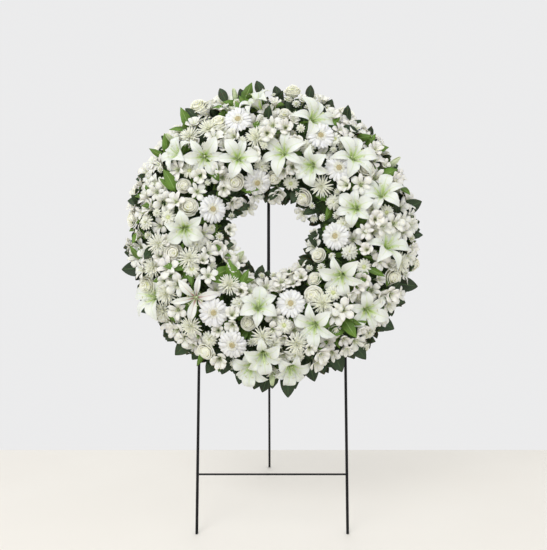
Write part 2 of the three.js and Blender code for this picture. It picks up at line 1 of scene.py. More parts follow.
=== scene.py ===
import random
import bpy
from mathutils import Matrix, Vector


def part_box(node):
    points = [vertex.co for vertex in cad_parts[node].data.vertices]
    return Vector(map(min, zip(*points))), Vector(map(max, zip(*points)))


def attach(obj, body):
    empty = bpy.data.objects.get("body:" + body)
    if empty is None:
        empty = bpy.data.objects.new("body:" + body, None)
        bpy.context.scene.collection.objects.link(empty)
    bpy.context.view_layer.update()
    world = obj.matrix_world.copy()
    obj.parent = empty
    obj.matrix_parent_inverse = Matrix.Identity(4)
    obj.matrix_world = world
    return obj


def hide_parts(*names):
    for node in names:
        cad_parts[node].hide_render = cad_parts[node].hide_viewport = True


bl_info = {
    "name": "Funeral wreath on an easel",
    "version": (1, 0, 0),
    "blender": (4, 5, 0),
    "location": "View3D > Sidebar > Wreath",
    "description": "Dresses a round flower wreath and its folding easel with blooms and finishes",
    "category": "Object",
}

from math import atan2, cos, pi, radians, sin, sqrt

import bmesh
import bpy
from bpy.props import FloatProperty, FloatVectorProperty, IntProperty, PointerProperty
from mathutils import Matrix, Vector

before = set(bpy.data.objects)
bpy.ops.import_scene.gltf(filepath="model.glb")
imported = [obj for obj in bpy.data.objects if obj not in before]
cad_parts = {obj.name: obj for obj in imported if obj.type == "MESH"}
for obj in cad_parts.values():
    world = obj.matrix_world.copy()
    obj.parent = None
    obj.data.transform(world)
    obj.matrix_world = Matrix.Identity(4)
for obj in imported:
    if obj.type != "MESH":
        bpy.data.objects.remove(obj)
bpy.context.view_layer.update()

# ---- Driving sizes, in metres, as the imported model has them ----
MM = 0.001
STAND = "stand_and_wreath"
LEAN = radians(6.6)  # how far the front frame and the wreath lean back
FLOWER_BAND = 285 * MM  # the band's crest, from the middle of the wreath
FLANK = 175 * MM  # half the width of the flower band
FLANK_TILT = radians(50)
TRAY_MIDDLE = 12.1 * MM  # half way through the tray, forward of the frame's plane
FOAM_BAND = 255 * MM
FOAM_HALF = 49.7 * MM
FOAM_SHOULDER = 20 * MM
FOAM_CROWN = 42 * MM
ROOT_DEPTH = 20 * MM
SPRAYS = 12
SPRAY_ANGLE = 30
TRIES = 60  # draws for each free place that is sought
BLOSSOM_BAND = (136, 484)  # millimetres from the middle between which blossoms are sought
SIDE_RADIUS = 437 * MM  # where blossoms stand on the band's outer side
BROAD_LEAF = 100 * MM  # the length that leaves are drawn at
BIG_BLOOM = 72 * MM  # a leaf nearer than this to a bloom's middle lies under it
SECTORS = 6
SECTOR_ANGLE = 60
SPIN_STEP = radians(37)  # each bloom is turned on by this from the one before it
GOLDEN_TURN = 2.39996
TURN = 2 * pi

# Each stands at a clock angle in degrees and a distance from the middle in millimetres.
GERBERAS = [
    (343, 365), (27, 330), (47, 280), (290, 195), (95, 195), (215, 305), (166, 230), (199, 365),
    (343, 162),
]
LILIES = [
    (7, 245), (31, 230), (335, 245), (317, 305), (48, 345), (75, 260), (270, 265), (125, 250),
    (97, 360), (228, 310), (190, 235), (157, 315), (130, 380), (21, 380), (353, 415), (184, 380),
    (71, 355), (242, 420),
]
ROSES = [
    (8, 480), (330, 490), (334, 385), (31, 465), (56, 350), (41, 145), (323, 190), (286, 265),
    (276, 450), (257, 310), (247, 425), (148, 235), (111, 400), (209, 420),
]
SMALL_ROSES = [
    (6, 375), (139, 195), (127, 335), (102, 465), (194, 290), (148, 360), (141, 460), (297, 305),
    (117, 160), (2, 170),
]
SPIDER_MUMS = [
    (350, 290), (319, 395), (48, 205), (263, 350), (251, 265), (239, 375), (220, 380), (185, 325),
    (168, 350), (234, 415), (104, 405), (253, 380), (218, 210), (328, 375), (146, 270),
]
DAISIES = [
    (306, 315), (351, 205), (21, 165), (65, 210), (81, 355), (106, 245), (112, 300), (274, 390),
    (277, 320), (259, 235), (244, 270), (204, 245), (173, 290), (179, 345), (169, 385), (136, 430),
    (34, 345), (210, 380), (136, 265), (23, 280), (294, 360), (85, 220),
]
BUTTONS = [
    (59, 235), (74, 165), (76, 205), (258, 200), (238, 265), (39, 340), (37, 315), (354, 360),
    (185, 455), (97, 300), (322, 340), (12, 310),
]
EXTRA_LILIES = [(309, 385), (172, 425), (189, 425)]
RIM_BLOSSOMS = [(317, 121), (4, 124), (55, 119), (306, 152), (336, 130)]
BLUSHED_LILY = 9  # the one of LILIES with a rosy throat
LILY_BUDS = [(234, 135), (313, 430), (180, 440), (345, 455), (60, 440)]

OUTER_LEAVES = [
    (15, 505), (24, 482), (37, 470), (50, 455), (61, 462), (80, 490), (90, 470), (113, 490),
    (131, 487), (145, 490), (153, 483), (164, 479), (174, 512), (184, 490), (193, 481), (204, 482),
    (217, 486), (228, 470), (237, 484), (254, 490), (266, 475), (284, 475), (294, 474), (312, 480),
    (327, 500), (341, 508), (356, 508),
]
INNER_LEAVES = [
    (6, 98), (28, 118), (63, 118), (94, 126), (107, 112), (129, 119), (149, 138), (165, 127),
    (198, 112), (225, 124), (255, 132), (270, 124), (292, 122), (309, 112), (340, 118),
]
BRIGHT_LEAVES = [
    (321, 455), (306, 450), (342, 460), (349, 430), (313, 260), (325, 140), (301, 280), (292, 355),
    (63, 400), (64, 340), (58, 310), (62, 165), (210, 145), (246, 310), (141, 370), (141, 340),
    (142, 400), (347, 470), (150, 385), (133, 345), (226, 350), (236, 340), (205, 335), (184, 300),
    (194, 330), (27, 385), (48, 430), (120, 290), (100, 260), (216, 142), (229, 205), (283, 225),
    (330, 250), (300, 240), (222, 400), (112, 340), (84, 290),
]


# ---- Shader arithmetic ----
class Value:
    """A shader socket that takes part in Python arithmetic."""

    def __init__(self, paint, socket):
        self.paint = paint
        self.socket = socket

    def math(self, operation, *others):
        inputs = dict(enumerate([self, *others]))
        return self.paint.node("ShaderNodeMath", {"operation": operation}, inputs)

    def __add__(self, other):
        return self.math("ADD", other)

    __radd__ = __add__

    def __mul__(self, other):
        return self.math("MULTIPLY", other)

    __rmul__ = __mul__

    def __sub__(self, other):
        return self.math("SUBTRACT", other)

    def __rsub__(self, other):
        return self.math("MULTIPLY", -1.0) + other

    def __abs__(self):
        return self.math("ABSOLUTE")


class Paint:
    """One procedural finish, built node by node in front of a Principled shader."""

    def __init__(self, name, **constants):
        self.material = bpy.data.materials.new(name)
        self.material.use_nodes = True
        self.tree = self.material.node_tree
        self.shader = self.tree.nodes["Principled BSDF"]
        for socket, value in constants.items():
            self.shader.inputs[socket.replace("_", " ")].default_value = value
        self.place = self.node("ShaderNodeTexCoord", output="Object")

    def node(self, kind, settings=(), inputs=(), output=0):
        node = self.tree.nodes.new(kind)
        for name, value in dict(settings).items():
            setattr(node, name, value)
        for name, value in dict(inputs).items():
            self.feed(node.inputs[name], value)
        return Value(self, node.outputs[output])

    def feed(self, socket, value):
        if isinstance(value, Value):
            self.tree.links.new(value.socket, socket)
        else:
            socket.default_value = value

    def petal_map(self):
        where = self.node("ShaderNodeUVMap", {"uv_map": "UVMap"})
        across = self.node("ShaderNodeSeparateXYZ", (), {0: where}, "X")
        along = self.node("ShaderNodeSeparateXYZ", (), {0: where}, "Y")
        return across, along

    def noise(self, scale, detail=2.0, rough=0.5, where=None):
        inputs = {
            "Vector": where or self.place, "Scale": scale, "Detail": detail, "Roughness": rough,
        }
        return self.node("ShaderNodeTexNoise", (), inputs, "Fac")

    def cells(self, scale, output="Distance"):
        inputs = {"Vector": self.place, "Scale": scale}
        return self.node("ShaderNodeTexVoronoi", (), inputs, output)

    def rise(self, value, low, high):
        settings = {"interpolation_type": "SMOOTHSTEP"}
        inputs = {"Value": value, "From Min": low, "From Max": high}
        return self.node("ShaderNodeMapRange", settings, inputs)

    def mix(self, share, *colours):
        """Blends two colours, given as sockets or as three channels."""
        first, second = (c if isinstance(c, Value) else (*c, 1.0) for c in colours)
        inputs = {0: share, 6: first, 7: second}
        return self.node("ShaderNodeMix", {"data_type": "RGBA"}, inputs, 2)

    def wear(self, colour, roughness, relief, depth):
        """Connects what varies over the surface, with relief as a height in metres times depth."""
        inputs = {"Height": relief, "Distance": depth, "Strength": 1.0}
        normal = self.node("ShaderNodeBump", (), inputs)
        for socket, value in (("Base Color", colour), ("Roughness", roughness), ("Normal", normal)):
            self.feed(self.shader.inputs[socket], value)
        return self.material


def shade(colour, factor):
    return [channel * factor for channel in colour]


# ---- Finishes ----
def petal_finish(name, petal, throat_and_shade, throat_and_shade_end, veins, warm, midrib=0):
    """Thin petal: a coloured throat, partly painted shade, fine veins along it and a slow drift to
    a warm tone.
    """
    paint = Paint(name, Subsurface_Weight=0.25, Subsurface_Scale=0.004, Specular_IOR_Level=0.3)
    paint.shader.inputs["Subsurface Radius"].default_value = (1, 0.9, 0.6)
    across, along = paint.petal_map()
    stretched = paint.node("ShaderNodeCombineXYZ", (), {0: across * 34, 1: along * 1.4})
    fine = paint.noise(1, 3, where=stretched)
    drift = paint.rise(paint.noise(11, 1), 0.35, 0.7)
    body = paint.mix(drift * 0.5, petal, warm)
    body = paint.mix(paint.rise(fine, 0.35, 0.75) * veins, body, shade(petal, 0.8))
    # The throat mask is partly the bloom's own throat colour and partly painted shade, darker deep
    # in the bloom where the petals meet.
    deep = 1 - paint.rise(along + abs(across - 0.5) * 0.9, throat_and_shade_end * 0.4, throat_and_shade_end)
    rib_line = (1 - paint.rise(abs(across - 0.5), 0, 0.07)) * (1 - along) * midrib
    mottled_throat_and_shade = deep.math("MAXIMUM", rib_line) * (0.75 + 0.4 * paint.noise(160))
    colour = paint.mix(mottled_throat_and_shade, body, throat_and_shade)
    roughness = 0.46 + 0.2 * paint.noise(420)
    rib = paint.rise(abs(across - 0.5), 0, 0.05)
    return paint.wear(colour, roughness, fine * 0.6 + rib * 0.4, 0.0009)


def leaf_finish(name, deep, light, rib, gloss):
    """Leaf: a pale midrib, side veins slanting from it, and mottled green between them."""
    paint = Paint(name, Specular_IOR_Level=0.32, Subsurface_Weight=0.06, Subsurface_Scale=0.003)
    across, along = paint.petal_map()
    off_rib = abs(across - 0.5) * 2
    slant = (along * 13 - off_rib * 3.2).math("FRACT")
    side_vein = 1 - paint.rise(abs(slant - 0.5), 0.03, 0.12)
    midrib = 1 - paint.rise(off_rib, 0.03, 0.1)
    tone = paint.rise(paint.noise(16, 3), 0.3, 0.7)
    colour = paint.mix(tone, deep, light)
    colour = paint.mix(side_vein * 0.3, colour, rib)
    colour = paint.mix(midrib * 0.7, colour, rib)
    colour = paint.mix(paint.rise(off_rib, 0.86, 1) * 0.3, colour, light)
    roughness = gloss + 0.22 * paint.noise(240, 3)
    relief = midrib * 0.8 + side_vein * 0.35 + 0.25 * paint.noise(700)
    return paint.wear(colour, roughness, relief, 0.0006)


def grained_finish(name, dark, pale, scale, roughness, depth):
    """Grain in cells and noise, for discs, pollen, stems and foam."""
    paint = Paint(name)
    cell = paint.cells(scale)
    cloud = paint.noise(scale * 0.35, 3)
    colour = paint.mix(paint.rise(cell * 0.7 + cloud * 0.6, 0.25, 0.85), dark, pale)
    return paint.wear(colour, roughness + 0.2 * cloud, cell, depth)


def black_steel():
    """Satin black powder coat, with fine orange peel and a little wear."""
    paint = Paint("black_steel", Specular_IOR_Level=0.22)
    peel = paint.noise(900)
    scuffs = paint.rise(paint.noise(60, 6, 0.7), 0.62, 0.75)
    colour = paint.mix(scuffs * 0.5, (0.004, 0.004, 0.005), (0.024, 0.024, 0.025))
    return paint.wear(colour, 0.34 + 0.18 * peel + 0.15 * scuffs, peel, 0.0002)


def zinc_plate():
    paint = Paint("zinc_plate", Metallic=1)
    spangle = paint.cells(420, "Color")
    tone = paint.noise(180, 3)
    colour = paint.mix(tone, (0.42, 0.43, 0.45), (0.62, 0.63, 0.64))
    colour = paint.mix(0.12, colour, spangle)
    return paint.wear(colour, 0.3 + 0.25 * tone, tone, 0.0001)


def ring_middle():
    low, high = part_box("ring_tray")
    return (low + high) / 2


def tray_plastic():
    """Moulded green plastic, with shallow grooves that run round the ring, darkened as painted
    shade.
    """
    paint = Paint("tray_plastic", Specular_IOR_Level=0.45)
    flow = paint.noise(26, 4)
    grain = paint.noise(1300)
    ends = {0: paint.place, 1: ring_middle()}
    reach = paint.node("ShaderNodeVectorMath", {"operation": "DISTANCE"}, ends, "Value")
    groove_and_shade = 1 - paint.rise(abs((reach * 78).math("FRACT") - 0.5), 0.04, 0.12)
    colour = paint.mix(flow, (0.012, 0.04, 0.016), (0.026, 0.075, 0.03))
    # Painted shade: the grooves are darkened in colour as well as bumped.
    colour = paint.mix(groove_and_shade * 0.35, colour, (0.006, 0.02, 0.008))
    return paint.wear(colour, 0.38 + 0.2 * grain, grain * 0.15 - groove_and_shade, 0.0008)


def floor_paint():
    paint = Paint("pale_floor", Specular_IOR_Level=0.3)
    cloud = paint.noise(1.3, 3)
    colour = paint.mix(cloud, (0.80, 0.765, 0.70), (0.86, 0.835, 0.78))
    return paint.wear(colour, 0.5 + 0.1 * cloud, paint.noise(300), 0.0001)


FINISHES = {}


def mix_finishes(colours):
    """All finishes of the object, made once from the scene's colour settings."""
    lily, leaf, bright = colours.lily, colours.leaf, colours.bright_leaf
    for finish, *look in (
        ("lily", "lily_petal", lily, colours.throat_and_shade, 0.58, 0.35, (0.70, 0.75, 0.64), 0.8),
        ("blushed_lily", "blushed_petal", lily, (0.5, 0.2, 0.2), 0.5, 0.3, (0.84, 0.78, 0.76), 0.9),
        ("gerbera", "gerbera_petal", colours.gerbera, (0.82, 0.8, 0.6), 0.35, 0.3,
         (0.93, 0.92, 0.89)),
        # The rose's throat colour is painted shade: darker and yellower at the petals' bases, where
        # it shows in the wells between rounds.
        ("rose", "rose_petal", colours.rose, (0.72, 0.74, 0.42), 0.42, 0.1, (0.94, 0.92, 0.84)),
        ("mum", "mum_petal", colours.mum, (0.93, 0.95, 0.50), 0.5, 0.2, (0.95, 0.95, 0.86)),
        ("alstroemeria", "alstroemeria_petal", colours.alstroemeria, (0.66, 0.7, 0.4), 0.5, 0.3,
         (0.88, 0.82, 0.79)),
        ("bud", "bud_skin", (0.62, 0.72, 0.42), (0.3, 0.46, 0.16), 0.75, 0.3, (0.8, 0.84, 0.62)),
    ):
        FINISHES[finish] = petal_finish(*look)
    for finish, *grain in (
        ("disc", "gerbera_disc", (0.5, 0.4, 0.16), (0.84, 0.77, 0.5), 620, 0.6, 0.0012),
        ("disc_green", "daisy_disc", (0.42, 0.52, 0.14), (0.78, 0.82, 0.45), 640, 0.6, 0.001),
        ("style", "lily_style", (0.45, 0.6, 0.24), (0.72, 0.8, 0.5), 260, 0.4, 0.0003),
        ("anther", "lily_anther", (0.5, 0.55, 0.26), (0.78, 0.78, 0.5), 900, 0.8, 0.0006),
        ("stem", "green_stem", (0.06, 0.14, 0.03), (0.17, 0.3, 0.08), 210, 0.42, 0.0004),
        ("moss", "moss_bed", (0.008, 0.018, 0.006), (0.04, 0.075, 0.018), 90, 0.8, 0.004),
        ("foam", "floral_foam", (0.015, 0.05, 0.02), (0.04, 0.1, 0.035), 800, 0.85, 0.0006),
    ):
        FINISHES[finish] = grained_finish(*grain)
    FINISHES.update(
        leaf=leaf_finish("broad_leaf", leaf, shade(leaf, 2), (0.07, 0.13, 0.045), 0.42),
        bright_leaf=leaf_finish("bright_leaf", bright, shade(bright, 1.8), (0.3, 0.46, 0.14), 0.36),
        steel=black_steel(), zinc=zinc_plate(), tray=tray_plastic(), floor=floor_paint(),
    )


# ---- Modelling tools ----
def editing(on):
    bpy.ops.object.mode_set(mode="EDIT" if on else "OBJECT")


def let_go():
    bpy.ops.object.select_all(action="DESELECT")


def take(*pieces):
    let_go()
    for piece in pieces:
        piece.select_set(True)
    bpy.context.view_layer.objects.active = pieces[0]


def pick(mesh, vertices):
    """Selects exactly these vertices of an edit mesh."""
    bpy.ops.mesh.select_all(action="DESELECT")
    for vertex in vertices:
        vertex.select = True
    mesh.select_flush(True)


def paint_all(piece, finish):
    piece.data.materials.clear()
    piece.data.materials.append(FINISHES[finish])
    return piece


def add_and_apply(piece, kind, **settings):
    take(piece)
    modifier = piece.modifiers.new(kind.lower(), kind)
    for name, value in settings.items():
        setattr(modifier, name, value)
    bpy.ops.object.modifier_apply(modifier=modifier.name)


def petal_sheet(name, across, rows):
    """An upright sheet with its own map, u across it and v up it, shaped row by row.

    Each row has its width, how far out and up it lies, and how much its edges rise.
    """
    last = len(rows) - 1
    let_go()
    bpy.ops.mesh.primitive_grid_add(
        x_subdivisions=across, y_subdivisions=last, size=1, calc_uvs=True,
        location=(0, 0, 0.5), rotation=(pi / 2, 0, 0),
    )
    piece = bpy.context.object
    piece.name = name
    bpy.ops.object.transform_apply(location=True, rotation=True, scale=True)
    editing(True)
    mesh = bmesh.from_edit_mesh(piece.data)
    where = {v: (round(v.co.z * last), round(abs(v.co.x) * 2, 3)) for v in mesh.verts}
    sides = sorted({side for _, side in where.values() if side > 0})
    for index, (width, out, up, cup) in enumerate(rows):
        pick(mesh, [v for v in mesh.verts if where[v][0] == index])
        bpy.ops.transform.resize(value=(width * MM, 1, 1), center_override=(0, 0, 0))
        bpy.ops.transform.translate(value=(0, -out * MM, up * MM - index / last))
        for side in sides if cup else ():
            pick(mesh, [v for v in mesh.verts if where[v] == (index, side)])
            bpy.ops.transform.translate(value=(0, 0, cup * MM * side * side))
    editing(False)
    return piece


def ruffle_edges(piece, reach, seed):
    """Waves the two long edges of a sheet up and down, the same way each time."""
    chance = random.Random(seed)
    editing(True)
    mesh = bmesh.from_edit_mesh(piece.data)
    for vertex in [v for v in mesh.verts if v.is_boundary and abs(v.co.x) > 2 * MM]:
        pick(mesh, [vertex])
        bpy.ops.transform.translate(value=(0, 0, chance.uniform(-reach, reach) * MM))
    editing(False)


def thicken(piece, finish, thickness, smoothing):
    """Gives a petal its thickness in millimetres, its smoothness and its finish."""
    add_and_apply(piece, "SOLIDIFY", thickness=thickness * MM, offset=0.0)
    if smoothing:
        add_and_apply(piece, "SUBSURF", levels=smoothing, render_levels=smoothing)
    bpy.ops.object.shade_smooth()
    return paint_all(piece, finish)


def open_petal(name, finish, across, rows, thickness, smoothing=0, ruffle=0.0):
    """A petal or leaf that grows out along -Y from the origin; rows as in petal_sheet."""
    piece = petal_sheet(name, across, rows)
    if ruffle:
        ruffle_edges(piece, ruffle, len(name))
    return thicken(piece, finish, thickness, smoothing)


def wrapped_petal(name, finish, across, rows, thickness, smoothing=0):
    """A petal wrapped round the Z axis. Each row has its span in degrees, its radius and height."""
    widest = radians(max(span for span, _, _ in rows))
    axis_radius = max(radius for _, radius, _ in rows)
    piece = petal_sheet(name, across, [
        (radians(span) * axis_radius, radius - axis_radius, up, 0) for span, radius, up in rows
    ])
    add_and_apply(piece, "SIMPLE_DEFORM", deform_method="BEND", deform_axis="Z", angle=widest)
    editing(True)
    bpy.ops.mesh.select_all(action="SELECT")
    bpy.ops.transform.translate(value=(0, -axis_radius * MM, 0))
    editing(False)
    return thicken(piece, finish, thickness, smoothing)


def drawn(name, finish, stations, sides):
    """A closed rod drawn through stations (x, y, z, radius) by extruding a disc."""
    let_go()
    x, y, z, radius = stations[0]
    bpy.ops.mesh.primitive_circle_add(
        vertices=sides, radius=radius * MM, fill_type="NGON", location=(x * MM, y * MM, z * MM),
    )
    piece = bpy.context.object
    piece.name = name
    bpy.ops.object.transform_apply(location=True)
    editing(True)
    for here, there in zip(stations, stations[1:]):
        step = [(there[i] - here[i]) * MM for i in range(3)]
        bpy.ops.mesh.extrude_region_move(TRANSFORM_OT_translate={"value": step})
        growth = there[3] / here[3]
        centre = [there[i] * MM for i in range(3)]
        bpy.ops.transform.resize(value=(growth, growth, 1), center_override=centre)
    bpy.ops.mesh.select_all(action="SELECT")
    bpy.ops.mesh.normals_make_consistent(inside=False)
    editing(False)
    bpy.ops.object.shade_smooth()
    return paint_all(piece, finish)


def turned(name, finish, profile, sides):
    """A closed round piece on the Z axis, through pairs of height and radius."""
    return drawn(name, finish, [(0, 0, height, radius) for height, radius in profile], sides)


def copy_of(piece, matrix):
    """A copy with a mesh of its own, moved to its place in the mesh."""
    twin = piece.copy()
    twin.data = piece.data.copy()
    twin.data.transform(matrix)
    bpy.context.scene.collection.objects.link(twin)
    return twin


def join(pieces, name):
    take(*pieces)
    bpy.ops.object.join()
    whole = bpy.context.object
    whole.name = name
    whole.data.name = name
    return whole


def clear_away(*pieces):
    for piece in pieces:
        bpy.data.objects.remove(piece, do_unlink=True)


def whorl(petal, count, start=0.0, tip=0.0, size=1.0, lift=0.0, skew=0.0, seed=0, wobble=0.0):
    """Copies of a petal round the Z axis, tipped outward and wobbled a little, all repeatable."""
    chance = random.Random(seed)
    made = []
    for i in range(count):
        turn = radians(start) + TURN * i / count + chance.uniform(-wobble, wobble)
        lean = radians(tip) + chance.uniform(-wobble, wobble)
        scale = size * (1 + chance.uniform(-wobble, wobble) * 0.4)
        matrix = Matrix.Rotation(turn, 4, "Z") @ Matrix.Translation((0, 0, lift * MM))
        matrix = matrix @ Matrix.Rotation(lean, 4, "X") @ Matrix.Rotation(radians(skew), 4, "Y")
        made.append(copy_of(petal, matrix @ Matrix.Scale(scale, 4)))
    return made


def rounds(petal, *rows):
    """Whorls one over another, in rows of count, start, tip, size, lift, wobble and seed."""
    made = []
    for count, start, tip, size, lift, wobble, seed in rows:
        made += whorl(petal, count, start, tip, size, lift, 0, seed, wobble)
    return made


# ---- Blooms: each faces +Z with the middle of its face at the origin ----
def make_lily(name, openness, breadth=1.0, skin="lily"):
    """Six recurved petals from a green throat, with six stamens and a style."""
    path = [
        (6, 5, -35, 0), (14, 9, -24, 2), (26, 15, -11, 5), (39, 26, 0, 8), (46, 37, 7, 9),
        (43, 49, 9, 8), (32, 60, 6, 5), (17, 70, -1, 2), (2, 80, -12, 0),
    ]
    closing = (1 - openness) * 0.9

    def rows(share, drop):
        return [
            (width * share, out * openness, up + closing * out - drop * index / 8, cup * share)
            for index, (width, out, up, cup) in enumerate(path)
        ]

    inner = open_petal("lily_inner", skin, 4, rows(breadth, 0), 0.9, 1, 2.4)
    outer = open_petal("lily_outer", skin, 4, rows(0.7 * breadth, 4), 0.9, 1, 1.2)
    filament = drawn("filament", "style", [
        (0, -2.5, -30, 1.0), (0, -6, -10, 0.9), (0, -13, 8, 0.8), (0, -22, 17, 0.6),
    ], 5)
    anther = drawn("anther", "anther", [
        (-4.5, -22, 17.5, 0.5), (-2.5, -22.5, 18, 1.4), (2.5, -22.5, 18, 1.4),
        (4.5, -22, 17.5, 0.5),
    ], 5)
    parts = rounds(inner, (3, 0, 0, 1, 0, 0.1, 1)) + rounds(outer, (3, 60, 0, 1, -1.6, 0.1, 2))
    for stamen in (filament, anther):
        parts += rounds(stamen, (6, 30, 0, 1, 0, 0.08, 3))
    style = drawn("style", "style", [
        (0, 0, -32, 2.4), (0, 0, -14, 1.9), (1, -2, 8, 1.3), (2.5, -6, 26, 1.2), (3, -7.5, 29, 2.8),
        (3, -8, 31, 2.2),
    ], 8)
    tube = turned("lily_neck", "bud", [(-44, 2.6), (-38, 5.0), (-30, 7.5), (-26, 8.0)], 12)
    clear_away(inner, outer, filament, anther)
    return join(parts + [style, tube], name)


def make_gerbera(name):
    """Two rows of long ray petals, a ring of short ones and a beige disc over a green calyx."""
    ray = open_petal("ray", "gerbera", 2, [
        (3.4, 8, 0, 0), (8.4, 17, 2.8, 0.5), (11.8, 27, 3.8, 0.7), (12.4, 35, 3.2, 0.5),
        (10, 41, 1.8, 0.3), (3.6, 45, 0.4, 0),
    ], 0.7)
    short = open_petal("short_ray", "rose", 2, [
        (2.0, 7, 1, 0), (3.6, 11, 4.4, 0.4), (3.8, 15, 5.6, 0.3), (1.4, 19, 5.2, 0),
    ], 0.6)
    parts = rounds(ray, (21, 0, 3, 1, 0, 0.07, 4), (20, 8, -1, 0.93, 1.4, 0.08, 5))
    parts += rounds(short, (22, 0, 0, 1, 0, 0.1, 6), (18, 10, 0, 0.85, 1, 0.1, 7))
    disc = turned("disc", "disc", [(0, 7), (3, 9), (5.6, 8.4), (6.6, 5), (6.0, 2)], 18)
    floret = turned("floret", "disc", [(4.6, 0.75), (7.0, 0.8), (7.6, 0.35)], 5)
    florets = 62
    for i in range(florets):
        reach = 8.6 * sqrt((i + 0.5) / florets)
        place = Matrix.Translation((reach * MM, 0, 0.3 * MM))
        parts.append(copy_of(floret, Matrix.Rotation(i * GOLDEN_TURN, 4, "Z") @ place))
    calyx = turned("calyx", "stem", [(-15, 2.4), (-12, 6), (-5, 11.5), (0.5, 13)], 14)
    clear_away(ray, short, floret)
    return join(parts + [disc, calyx], name)


def make_rose(name, closed=True, size=1.0):
    """Petals wrapped in rounds over green sepals: a closed globe, or open with rolled rims."""
    # Each round has its count, its petals' span, five radii, five heights and where it starts.
    globe = [
        (2, 190, [2, 3.6, 4.6, 4.4, 6.0], [0, 6, 11, 15.6, 16.4], 60),
        (2, 215, [4, 8, 10.4, 9.4, 12.4], [-6, 2, 8, 13, 13.6], 0),
        (3, 150, [6, 14, 17.8, 16.6, 20.6], [-18, -12, -3, 8, 8.2], 75),
        (4, 130, [6, 18, 23.4, 22.6, 26.4], [-22, -16, -7, 2.4, 1.6], 12),
        (5, 112, [6, 19, 25.5, 27.0, 31.5], [-24, -19, -11, -4, -5.5], 40),
    ]
    opened = [
        (2, 215, [2, 3.5, 4, 3.6, 3.0], [-15, -6, 4, 10.5, 12.5], 0),
        (3, 150, [3, 6.5, 7.5, 7.4, 8.6], [-17, -8, 3, 10.5, 11.8], 20),
        (3, 150, [4, 9.5, 11.5, 12, 14.2], [-18, -9, 2, 9.2, 9.6], 70),
        (5, 110, [5, 13.5, 16.5, 17.6, 21], [-19, -10, 1, 7, 6.4], 12),
        (5, 106, [6, 17, 21.5, 23.2, 27], [-20, -12, -2, 3.8, 2.4], 48),
        (6, 94, [6, 19, 25, 28, 32], [-21, -14, -6, -0.6, -4], 20),
    ]
    widths = (0.5, 0.85, 1.0, 0.95, 0.62)
    parts = []
    for number, (count, span, radii, heights, start) in enumerate(globe if closed else opened):
        rows = [
            (span * width, radius * size, height * size)
            for width, radius, height in zip(widths, radii, heights)
        ]
        petal = wrapped_petal(f"rose_round_{number}", "rose", 6, rows, 0.8, 1 if number > 1 else 0)
        tilt = Matrix.Rotation(radians(max(0, 14 - 5 * number)), 4, "X")
        for piece in whorl(petal, count, start, skew=3, wobble=0.12, seed=10 + number):
            piece.data.transform(tilt)
            parts.append(piece)
        clear_away(petal)
    sepal = open_petal("sepal", "bright_leaf", 2, [
        (4, 3, -21, 0), (7, 12, -21, 0), (5, 20, -17, 0), (1, 29, -14, 0),
    ], 0.7)
    hip = turned("rose_hip", "stem", [(-30, 2.6), (-27, 5.5), (-21, 6.5), (-17, 5)], 10)
    core = turned("rose_core", "rose", [
        (height * size, radius * size) for height, radius in
        ((-22, 5), (-14, 13), (-6, 16.4), (1, 15.6), (6, 14), (9, 10), (12.5, 4))
    ], 16)
    parts += whorl(sepal, 5, wobble=0.12, seed=16) + [hip, core]
    clear_away(sepal)
    return join(parts, name)


def make_spider_mum(name):
    """Thin quilled petals in five rounds, curling up at their tips, pale green in the middle."""
    def quill(title, length, lift, thickness):
        return open_petal(title, "mum", 2, [
            (2.4, 2, 0, 0), (3.6, length * 0.4, lift * 0.35, 0.4),
            (4.4, length * 0.75, lift * 0.8, 0.5), (2.0, length * 0.97, lift * 1.25, 0.2),
        ], thickness)

    outer, inner = quill("long_quill", 37, 5, 1.0), quill("mid_quill", 25, 12, 1.1)
    parts = rounds(outer, (19, 0, 6, 1, 0, 0.1, 20), (17, 9, -8, 0.88, 1, 0.12, 21))
    parts += rounds(
        inner, (15, 4, -6, 1, 2, 0.14, 22), (11, 0, -24, 0.8, 3, 0.16, 23),
        (8, 0, -44, 0.6, 4, 0.16, 24),
    )
    heart = turned("mum_heart", "disc_green", [(-1, 3), (4, 4.4), (8, 3.4), (10, 1.4)], 9)
    cup = turned("mum_cup", "stem", [(-10, 2), (-7, 5), (-1, 7)], 9)
    clear_away(outer, inner)
    return join(parts + [heart, cup], name)


def make_daisy(name, double=False):
    """Short blunt petals in two rounds, or four if double, about a green-yellow disc."""
    petal = open_petal("daisy_petal", "mum", 2, [
        (2.6, 4, 0, 0), (6.4, 11, 2.2, 0.5), (7.8, 19, 2.6, 0.6), (3.6, 26, 1.4, 0),
    ], 0.8)
    parts = rounds(petal, (15, 0, 4, 1, 0, 0.08, 30), (13, 10, -5, 0.86, 1, 0.1, 31))
    if double:
        parts += rounds(petal, (11, 4, -20, 0.68, 2, 0.12, 32), (8, 0, -42, 0.5, 3, 0.14, 33))
    reach = 3.2 if double else 5.6
    disc = turned("daisy_eye", "disc_green", [(0, reach), (3, reach + 1), (5, reach * 0.6)], 10)
    cup = turned("daisy_cup", "stem", [(-8, 1.8), (-5, 5), (0.5, 7)], 9)
    clear_away(petal)
    return join(parts + [disc, cup], name)


def make_button(name):
    """A small round pompon of short petals."""
    petal = open_petal("button_petal", "mum", 2, [
        (1.8, 2, 0, 0), (4.2, 7, 2.4, 0.6), (2.6, 12, 3.4, 0.3),
    ], 0.8)
    parts = rounds(
        petal, (10, 0, 12, 1, 0, 0.1, 50), (9, 15, -14, 0.95, 1, 0.1, 49),
        (7, 5, -38, 0.8, 2.4, 0.1, 47), (5, 0, -62, 0.6, 4, 0.1, 45),
    )
    heart = turned("button_heart", "disc_green", [(-3, 2.5), (3, 3.4), (6, 1.6)], 8)
    clear_away(petal)
    return join(parts + [heart], name)


